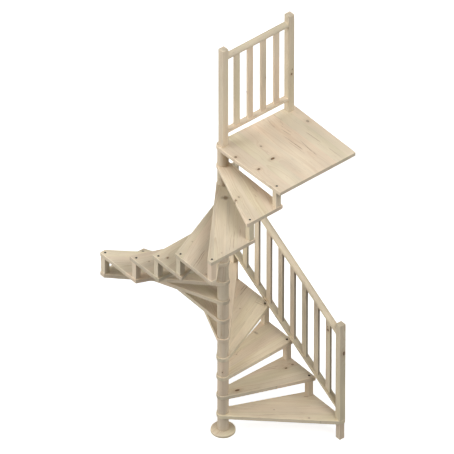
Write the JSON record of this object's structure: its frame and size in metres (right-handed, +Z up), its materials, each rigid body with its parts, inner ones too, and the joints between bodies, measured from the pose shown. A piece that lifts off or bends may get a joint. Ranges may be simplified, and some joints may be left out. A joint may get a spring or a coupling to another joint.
{
  "type": "square-plan wooden spiral staircase",
  "caption": "Square-plan wooden spiral stair: wedge treads round a turned column, corner posts, a quarter landing and two slatted balustrades.",
  "frame": {"origin": "the column's axis at floor level, on the underside of the foot disc", "axes": "+Z up along the column; +X and +Y along the sides of the square plan; the landing lies towards +X and -Y, and the flight rises counter-clockwise seen from above"},
  "size_m": [1.451, 1.451, 3.987],
  "materials": {
    "pine_tread": "planed and sanded, unfinished",
    "pine_post": "planed, unfinished",
    "pine_turned": "turned, unfinished",
    "screw_head": "dark, in the bottom of a counterbore"
  },
  "bodies": {
    "root": {"foot_disc": "pine_turned", "column_drums": "pine_turned", "tread_01": "pine_tread", "tread_02": "pine_tread", "tread_03": "pine_tread", "tread_04": "pine_tread", "tread_05": "pine_tread", "tread_06": "pine_tread", "tread_07": "pine_tread", "tread_08": "pine_tread", "tread_09": "pine_tread", "tread_10": "pine_tread", "tread_11": "pine_tread", "tread_12": "pine_tread", "tread_13": "pine_tread", "tread_14": "pine_tread", "landing_board": "pine_tread", "tread_posts": "pine_post", "newel_foot": "pine_post", "lower_newel": "pine_post", "upper_newel": "pine_post", "flight_handrail": "pine_post", "flight_bottom_rail": "pine_post", "flight_balusters": "pine_post", "landing_post_inner": "pine_post", "landing_post_outer": "pine_post", "landing_handrail": "pine_post", "landing_bottom_rail": "pine_post", "landing_balusters": "pine_post"}
  },
  "joints": []
}
